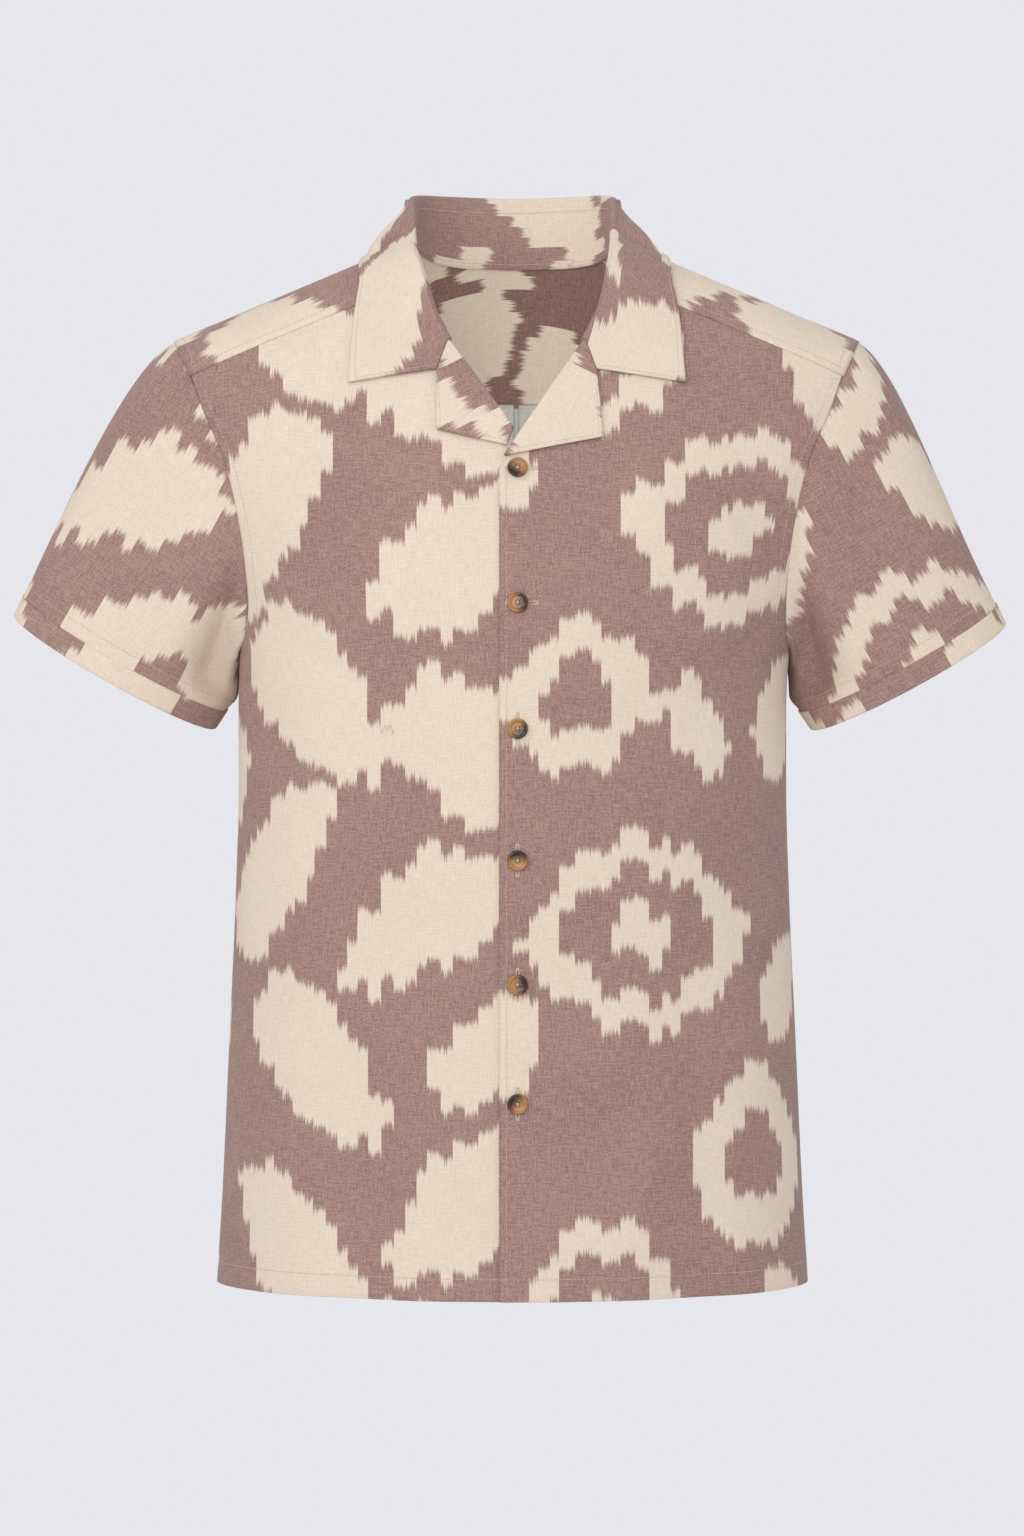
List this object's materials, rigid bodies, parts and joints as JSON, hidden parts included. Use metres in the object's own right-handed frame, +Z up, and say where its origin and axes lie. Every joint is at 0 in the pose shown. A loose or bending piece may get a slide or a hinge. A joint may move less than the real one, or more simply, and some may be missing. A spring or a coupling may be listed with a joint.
{
  "type": "resort shirt",
  "caption": "Short-sleeved shirt in its worn, hollow form, with a camp collar, notched lapels, a buttoned front, a yoke and a centre back pleat.",
  "frame": {"origin": "on the centre line at the height of the neck side of the shoulder line, between the two shoulders that carry the shirt", "axes": "+Z up along the body, -Y toward the front, +X toward the wearer's left"},
  "size_m": [0.6856, 0.2512, 0.7547],
  "materials": {
    "printed_cloth": "matt woven cotton with a woven-in two-colour pattern",
    "horn": "polished, mottled brown"
  },
  "bodies": {
    "root": {"back": "printed_cloth", "yoke": "printed_cloth", "yoke_lining": "printed_cloth", "front_right": "printed_cloth", "front_left": "printed_cloth", "sleeve_right": "printed_cloth", "sleeve_left": "printed_cloth", "cuff_right": "printed_cloth", "cuff_left": "printed_cloth", "collar": "printed_cloth", "lapel_right": "printed_cloth", "lapel_left": "printed_cloth", "button_1": "horn", "button_2": "horn", "button_3": "horn", "button_4": "horn", "button_5": "horn", "button_6": "horn"}
  },
  "joints": []
}
